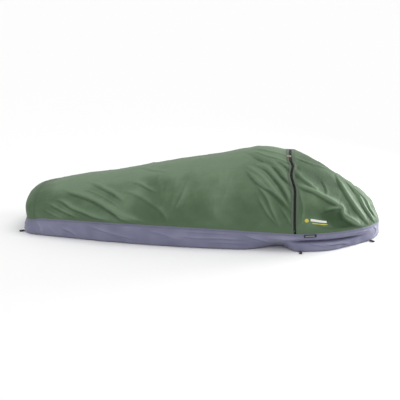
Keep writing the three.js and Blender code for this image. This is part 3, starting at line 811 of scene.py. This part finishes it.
def floor_sheet():
    """The floor spans the wall's lowest edge, which is off the ground at the notch."""
    count = len(side_s)
    near = wall_points[:count, 0]
    far = np.concatenate([wall_points[count:2 * count - 1, 0][::-1], near[-1:]])
    across = (1 - np.cos(np.linspace(0, np.pi, 46))) / 2
    points = near[:, None, :] * (1 - across)[None, :, None] + far[:, None, :] * across[None, :, None]
    reach = np.linalg.norm(points - near[:, None, :], axis=-1)
    points[..., 2] = 0.0004 + (near[:, None, 2] - 0.0004) * (1 - smoothstep(reach, 0, 0.09))
    inside = np.minimum(across, 1 - across)[None, :]
    points[..., 2] += 0.0012 * (1 + waves(points, 8, 0.25, 0.08, 12)) * smoothstep(inside, 0.01, 0.1)
    sheet = grid_sheet("floor_sheet", points, [TUB_INSIDE, TUB], 0, merge=2e-6)
    # Faces point up, so the thickness goes down from z = 0.0004 by less than that.
    thicken(sheet, 0.0004, 1)
    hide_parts("floor_sheet")
    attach(sheet, "bag")


floor_sheet()


def wall_band(name, low, high, lift, thick, material):
    """A strip that follows the wall just under the rim, low and high below it."""
    drop = np.linspace(low, high, 5)[None, :]
    points = wall_surface(OUTLINE, outline_rim[:, None] + drop, lift)[0]
    band = grid_sheet(name, points, [material], thick, wrap=True)
    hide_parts(name)
    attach(band, "bag")
    return band


wall_band("rim_binding", -0.009, 0.0025, 0.0009, 0.0006, RIM_CLOTH)
wall_band("rim_seam_tape", -0.014, -0.002, -0.0016, 0.0004, FILM)

# ---- Stitches ----


def stitch_row(path, out, length=0.0034, gap=0.0016, wide=0.0007, high=0.0004):
    """Small raised dashes along a dense path. Returns vertices and faces."""
    place = along_path(path)
    starts = np.arange(0, place[-1] - length, length + gap)
    vertices, faces = [], []
    ends = [(0, 0), (0.25, 1), (0.75, 1), (1, 0)]
    shape = [(along, side, up) for along, up in ends for side in (-0.5, 0.5)]
    quads = [(0, 2, 3, 1), (2, 4, 5, 3), (4, 6, 7, 5), (0, 6, 4, 2), (1, 3, 5, 7), (0, 1, 7, 6)]
    for start in starts:
        at = [np.array([np.interp(start + f * length, place, path[:, k]) for k in range(3)]) for f in (0, 1)]
        n = np.array([np.interp(start + length / 2, place, out[:, k]) for k in range(3)])
        t = at[1] - at[0]
        side = np.cross(n, t)
        side = side / max(np.linalg.norm(side), 1e-12)
        base = len(vertices)
        vertices += [at[0] + t * f + side * wide * w + n * high * h for f, w, h in shape]
        faces += [tuple(base + k for k in q) for q in quads]
    return vertices, faces


def stitches(name, rows, material):
    vertices, faces = [], []
    for path, out in rows:
        v, f = stitch_row(path, out)
        faces += [tuple(len(vertices) + k for k in q) for q in f]
        vertices += v
    thing = add_mesh(name, vertices, faces, [material])
    return thing


def rim_stitch_row(drop):
    points = wall_surface(OUTLINE, (outline_rim + drop)[:, None], 0.00095)[0][:, 0]
    out = np.concatenate([outline_out, np.zeros((len(points), 1))], -1)
    return np.concatenate([points, points[:1]]), np.concatenate([out, out[:1]])


rim_rows = [rim_stitch_row(-0.0072), rim_stitch_row(-0.0018)]
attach(stitches("rim_stitches", rim_rows, THREAD_DARK), "bag")

# ---- The zip ----

TAPE_EDGES = (0.0012, 0.016)
COIL_EDGES = (0.0008, 0.0029)
WELT_EDGES = (0.007, 0.022)
CHAIN_END = 86
HINGE_TAPER = 0.2
cos_lean = math.cos(ARCH_LEAN)


def arch_strip(phi, across, lift):
    """Points of a strip along the zip: phi in degrees from the top, across in metres from the
    middle of the zip, which may be an array of the same length as phi."""
    theta = np.radians(90 - np.asarray(phi, float))[:, None]
    n = np.asarray(across, float)
    n = n[None, :] if n.ndim == 1 else n
    return skin(ARCH_STATION + n * cos_lean, theta, lift)[0]


def hood_limit(phi, edges):
    """Hood strips narrow towards the ends of the arch, where they turn."""
    limit = np.minimum(edges[1], HINGE_TAPER * ARCH_RADIUS * np.cos(np.radians(phi)))
    return edges[0], np.maximum(limit, edges[0] + 0.001)


def zip_strip(name, edges, end, lift, thick, material, hood_side, columns=5):
    phi = np.linspace(end, -end, 300)
    if hood_side:
        low, high = hood_limit(phi, edges)
        across = low + (high - low)[:, None] * np.linspace(0, 1, columns)[None, :]
    else:
        across = np.repeat(np.linspace(-edges[1], -edges[0], columns)[None, :], len(phi), 0)
    points = arch_strip(phi, across, lift)
    strip = grid_sheet(name, points.transpose(1, 0, 2), [material], thick)
    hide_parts(name)
    if hood_side:
        follow_hood(strip)
    else:
        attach(strip, "bag")
    return strip


for side, on_hood in (("body", False), ("hood", True)):
    tape_end = CHAIN_END if on_hood else 89
    zip_strip(f"zip_tape_{side}", TAPE_EDGES, tape_end, 0.0, 0.0007, TAPE_CLOTH, on_hood, 7)
    zip_strip(f"zip_welt_{side}", WELT_EDGES, 83, SKIN + 0.001, 0.0007, WELT_CLOTH, on_hood)


def welt_stitches(side, on_hood):
    phi = np.linspace(83, -83, 400)
    rows = []
    for share in (0.12, 0.86):
        if on_hood:
            low, high = hood_limit(phi, WELT_EDGES)
            across = (low + (high - low) * share)[:, None]
        else:
            across = np.full((len(phi), 1), -(WELT_EDGES[0] + (WELT_EDGES[1] - WELT_EDGES[0]) * share))
        path = arch_strip(phi, across, SKIN + 0.00105)[:, 0]
        out = smooth_normal(np.full(len(phi), ARCH_STATION), np.radians(90 - phi))
        rows.append((path, out))
    thing = stitches(f"zip_stitches_{side}", rows, THREAD)
    if on_hood:
        follow_hood(thing)
    else:
        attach(thing, "bag")


welt_stitches("body", False)
welt_stitches("hood", True)

TOOTH_PITCH = 0.0024


def coil(side, sign):
    """Nylon teeth: each a small arched bar across the zip's edge."""
    angle = math.degrees(TOOTH_PITCH / ARCH_RADIUS)
    start = angle / 2 if sign > 0 else 0
    phi = np.arange(CHAIN_END - start, -CHAIN_END, -angle)
    across = np.array([0.0002, 0.0012, 0.0024, 0.0032]) * sign
    lift = np.array([0.0010, 0.0022, 0.0021, 0.0008])
    half = angle * 0.31
    vertices, faces = [], []
    rings = []
    for along in (-half, half):
        theta = np.radians(90 - (phi + along))[:, None]
        outer = skin(ARCH_STATION + across[None, :] * cos_lean, theta, 0.0)[0]
        n = smooth_normal(np.full((len(phi), 4), ARCH_STATION), np.repeat(theta, 4, 1))
        rings.append((outer + n * lift[None, :, None], outer + n * 0.0002))
    for i in range(len(phi)):
        base = len(vertices)
        for top, bottom in rings:
            vertices += list(top[i]) + list(bottom[i])
        a, b = base, base + 8
        side_quads = [(k, k + 1, k + 5, k + 4) for k in range(3)]
        faces += [tuple(a + k for k in q) for q in side_quads]
        faces += [tuple(b + k for k in reversed(q)) for q in side_quads]
        faces += [(a + k, b + k, b + k + 1, a + k + 1) for k in range(3)]
        faces += [(a + 4 + k, a + 5 + k, b + 5 + k, b + 4 + k) for k in range(3)]
        faces += [(a, a + 4, b + 4, b), (a + 3, b + 3, b + 7, a + 7)]
    chain = add_mesh(f"zip_coil_{side}", vertices, faces, [COIL_PLASTIC])
    chain.data.polygons.foreach_set("use_smooth", np.zeros(len(chain.data.polygons), bool))
    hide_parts(f"zip_coil_{side}")
    if side == "hood":
        follow_hood(chain)
    else:
        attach(chain, "bag")


coil("body", -1)
coil("hood", 1)


def arch_patch(name, phi, across, lift, thick, material):
    points = arch_strip(np.asarray(phi), np.asarray(across), lift)
    patch = grid_sheet(name, points.transpose(1, 0, 2), [material], thick)
    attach(patch, "bag")
    return patch


flap = arch_patch("zip_draft_flap", np.linspace(84, -84, 220), np.linspace(-0.03, 0.024, 9), -0.0072, 0.0006,
                  SHELL_INSIDE)
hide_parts("zip_draft_flap")

GARAGE = (13.2, 16.6)
garage_across = np.linspace(-0.023, 0.006, 9)
garage_phi = np.linspace(GARAGE[1], GARAGE[0], 9)
garage_lift = SKIN + 0.0022 + 0.0006 * np.cos(np.linspace(-1.3, 1.3, 9))[:, None] * np.ones((1, 9))
garage = arch_patch("zip_garage", garage_phi, garage_across, garage_lift, 0.0009, GARAGE_CLOTH)
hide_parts("zip_garage")
garage_row = np.linspace(GARAGE[1] - 0.5, GARAGE[0] + 0.5, 24)
garage_row = arch_strip(garage_row, np.array([-0.0205]), SKIN + 0.0029)[:, 0]
garage_out = smooth_normal(np.full(24, ARCH_STATION), np.radians(90 - np.linspace(GARAGE[1], GARAGE[0], 24)))
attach(stitches("garage_stitches", [(garage_row, garage_out)], THREAD), "bag")

# Sliders, pulls and stops keep their CAD shape, with worn edges.
kept_shapes = (("zip_slider", METAL, "metal"), ("zip_pull", PULL_WEB, "pull"),
               ("zip_stop", METAL, "metal"))
for name, material, slot in kept_shapes:
    for side in ("near", "far"):
        node = frame["nodes"][f"{name}_{side}"]
        node.data.materials.clear()
        node.data.materials.append(material)
        edges = node.modifiers.new("edges", "BEVEL")
        edges.width = 0.0003
        edges.segments = 2
        edges.limit_method = "ANGLE"

# ---- Foot seam, label and print ----

phi_foot = np.radians(np.linspace(4, 176, 150))
tape_s = np.linspace(FOOT_ROUND - 0.014, FOOT_ROUND + 0.014, 6)
foot_tape = skin(tape_s[:, None], phi_foot[None, :], -0.0012)[0]
foot_tape = grid_sheet("foot_seam_tape", foot_tape, [FILM], 0.0004)
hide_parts("foot_seam_tape")
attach(foot_tape, "bag")
foot_row = skin(np.full(300, FOOT_ROUND + 0.006), np.linspace(0.05, np.pi - 0.05, 300), SKIN + 0.0001)[0]
foot_out = smooth_normal(np.full(300, FOOT_ROUND + 0.006), np.linspace(0.05, np.pi - 0.05, 300))
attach(stitches("foot_seam_stitches", [(foot_row, foot_out)], THREAD), "bag")


def side_patch(name, s_range, drop_range, lift, thick, material, rows=14, columns=6):
    s = np.linspace(*s_range, rows)[:, None]
    z = rim_height(s) + np.linspace(*drop_range, columns)[None, :]
    points = wall_surface(wall_edge(s[:, 0], 1), z, lift)[0]
    patch = grid_sheet(name, points, [material], thick)
    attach(patch, "bag")
    return patch


LABEL_S = (1.725, 1.795)
label = side_patch("side_label", LABEL_S, (-0.019, -0.0005), 0.0022, 0.0008, LABEL_DARK)
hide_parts("side_label")
side_patch("side_label_band", (LABEL_S[0] + 0.006, LABEL_S[1] - 0.012), (-0.0145, -0.006), 0.0027,
           0.0006, LABEL_LIGHT)


def print_patch(name, s_range, arc_range, material, rows=16, columns=5):
    """Ink on the hood: a thin patch on the fabric."""
    points = skin(np.linspace(*s_range, rows)[:, None], np.radians(np.linspace(*arc_range, columns))[None, :],
                  SKIN + 0.0004)[0]
    patch = grid_sheet(name, points, [material], 0.0003)
    follow_hood(patch)


def print_disc(name, s0, arc0, radius, material):
    turn = np.linspace(0, 2 * np.pi, 33)[:-1]
    rings = np.array([0.02, 0.5, 1.0]) * radius
    s = s0 + rings[None, :] * np.cos(turn)[:, None]
    theta = math.radians(arc0) + rings[None, :] * np.sin(turn)[:, None] / 0.39
    points = skin(s, theta, SKIN + 0.0004)[0]
    disc = grid_sheet(name, points[:, ::-1], [material], 0.0003, wrap=True)
    follow_hood(disc)


print_disc("print_dot", 1.742, 11.2, 0.0115, INK_YELLOW)
print_patch("print_bar", (1.764, 1.862), (10.7, 12.9), INK_WHITE)
print_patch("print_line", (1.772, 1.862), (8.7, 9.5), INK_YELLOW)

# ---- Peg loops ----

LOOP = {"width": 0.015, "reach": 0.028, "gap": 0.005, "web": 0.0012, "offset": 0.0048, "clear": 0.0012}


def loop_path():
    """Middle line of the webbing, round from its lower end, in the loop's own plane."""
    radius = (LOOP["gap"] + LOOP["web"]) / 2
    high = LOOP["gap"] / 2 + LOOP["web"]
    back, front = high - LOOP["offset"] + LOOP["clear"], LOOP["reach"] - high
    turn = np.linspace(-np.pi / 2, np.pi / 2, 12)
    tip = [(front + radius * math.cos(a), radius * math.sin(a)) for a in turn]
    heel = [(back - radius * math.cos(a), -radius * math.sin(a)) for a in turn]
    waist = 0.0006
    pinch = [waist * math.sin(math.pi * k / 9) for k in range(10)]
    top = [(x, radius - p) for x, p in zip(np.linspace(front, back, 10), pinch)][1:-1]
    under = [(x, -radius + p) for x, p in zip(np.linspace(back, front, 10), pinch)][1:-1]
    return np.array(tip + top + heel + under)


def peg_loop(place):
    joint = next(j for j in frame["joints"] if j["name"] == f"loop_lift_{place}")
    axis = Vector(joint["axis"]).normalized()
    origin = Vector(joint["pos_m"])
    out = Vector((0, 0, 1)).cross(axis)
    middle = loop_path()
    ahead = unit(np.roll(middle, -1, 0) - np.roll(middle, 1, 0))
    normal = np.stack([ahead[:, 1], -ahead[:, 0]], -1)
    half, thin = LOOP["width"] / 2, LOOP["web"] / 2
    inner = half - 0.0004
    section = [(-half, -0.5 * thin), (-inner, -thin), (0, -thin), (inner, -thin), (half, -0.5 * thin),
               (half, 0.5 * thin), (inner, thin), (0, thin), (-inner, thin), (-half, 0.5 * thin)]
    vertices, uv = [], []
    for p, n, along in zip(middle, normal, along_path(middle)):
        for across, through in section:
            q = p + n * through
            vertices.append(origin + out * q[0] + axis * across + Vector((0, 0, 1)) * q[1])
            uv.append((along, across + through))
    rows, columns = len(middle), len(section)
    faces = [(i * columns + j, i * columns + (j + 1) % columns, (i + 1) % rows * columns + (j + 1) % columns,
              (i + 1) % rows * columns + j) for i in range(rows) for j in range(columns)]
    loop = add_mesh(f"webbing_loop_{place}", vertices, faces, [WEBBING], uv)
    bmesh_fix_normals(loop)
    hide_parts(f"peg_loop_{place}")
    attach(loop, f"loop_{place}")


def bmesh_fix_normals(thing):
    work = bmesh.new()
    work.from_mesh(thing.data)
    bmesh.ops.recalc_face_normals(work, faces=work.faces)
    work.to_mesh(thing.data)
    work.free()


for where in ("foot", "shoulder", "head"):
    for side in ("near", "far"):
        peg_loop(f"{where}_{side}")

# ---- Stage, light and camera ----

stage_material, stage_tree, stage_shader = node_tree("studio_floor")
stage_noise = put(stage_tree, "ShaderNodeTexNoise", {"Scale": 0.6, "Detail": 2.0})
stage_tree.links.new(mix(stage_tree, stage_noise.outputs["Fac"], (0.93, 0.93, 0.93), (0.96, 0.96, 0.96)),
                     stage_shader.inputs["Base Color"])
stage_shader.inputs["Roughness"].default_value = 0.9
stage_shader.inputs["Specular IOR Level"].default_value = 0.1
STAGE_HALF = 90.0
STAGE_Z = -0.0012
corners = [(x * STAGE_HALF, y * STAGE_HALF, STAGE_Z) for x, y in ((-1, -1), (1, -1), (1, 1), (-1, 1))]
stage = add_mesh("stage_floor", corners, [(0, 1, 2, 3)], [stage_material])

world = bpy.data.worlds.new("studio")
world.use_nodes = True
world.node_tree.nodes["Background"].inputs["Color"].default_value = (1, 1, 1, 1)
world.node_tree.nodes["Background"].inputs["Strength"].default_value = 0.85
bpy.context.scene.world = world


def lamp(name, kind, energy, towards, place=(0, 0, 0), **settings):
    data = bpy.data.lights.new(name, kind)
    data.energy = energy
    for key, value in settings.items():
        setattr(data, key, value)
    thing = bpy.data.objects.new(name, data)
    thing.location = place
    thing.rotation_mode = "QUATERNION"
    thing.rotation_quaternion = Vector(towards).to_track_quat("Z", "Y")
    bpy.context.scene.collection.objects.link(thing)


lamp("key", "SUN", 0.7, (0.5, 0.2, 1.0), angle=math.radians(30))
HOOD_LIGHT = (2.3, 0.95, 0.6)
HOOD_LIGHT_AIM = (0.85, 0, 0.25)
lamp("hood_light", "AREA", 42, Vector(HOOD_LIGHT) - Vector(HOOD_LIGHT_AIM), HOOD_LIGHT,
     shape="DISK", size=0.9)

CAMERA_AZIMUTH = math.radians(7)
CAMERA_ELEVATION = math.radians(15.5)
CAMERA_DISTANCE = 5.0
TARGET = Vector((0, 0, 0.18))
back = Vector((math.sin(CAMERA_AZIMUTH) * math.cos(CAMERA_ELEVATION),
               -math.cos(CAMERA_AZIMUTH) * math.cos(CAMERA_ELEVATION), math.sin(CAMERA_ELEVATION)))
camera_data = bpy.data.cameras.new("camera")
camera_data.sensor_width = 36
camera_data.lens = 72
camera_data.shift_x = -0.00125
camera_data.shift_y = -0.001
camera = bpy.data.objects.new("camera", camera_data)
camera.location = TARGET + back * CAMERA_DISTANCE
camera.rotation_mode = "QUATERNION"
camera.rotation_quaternion = (-back).to_track_quat("-Z", "Y")
bpy.context.scene.collection.objects.link(camera)
bpy.context.scene.camera = camera
bpy.context.scene.view_settings.view_transform = "Standard"
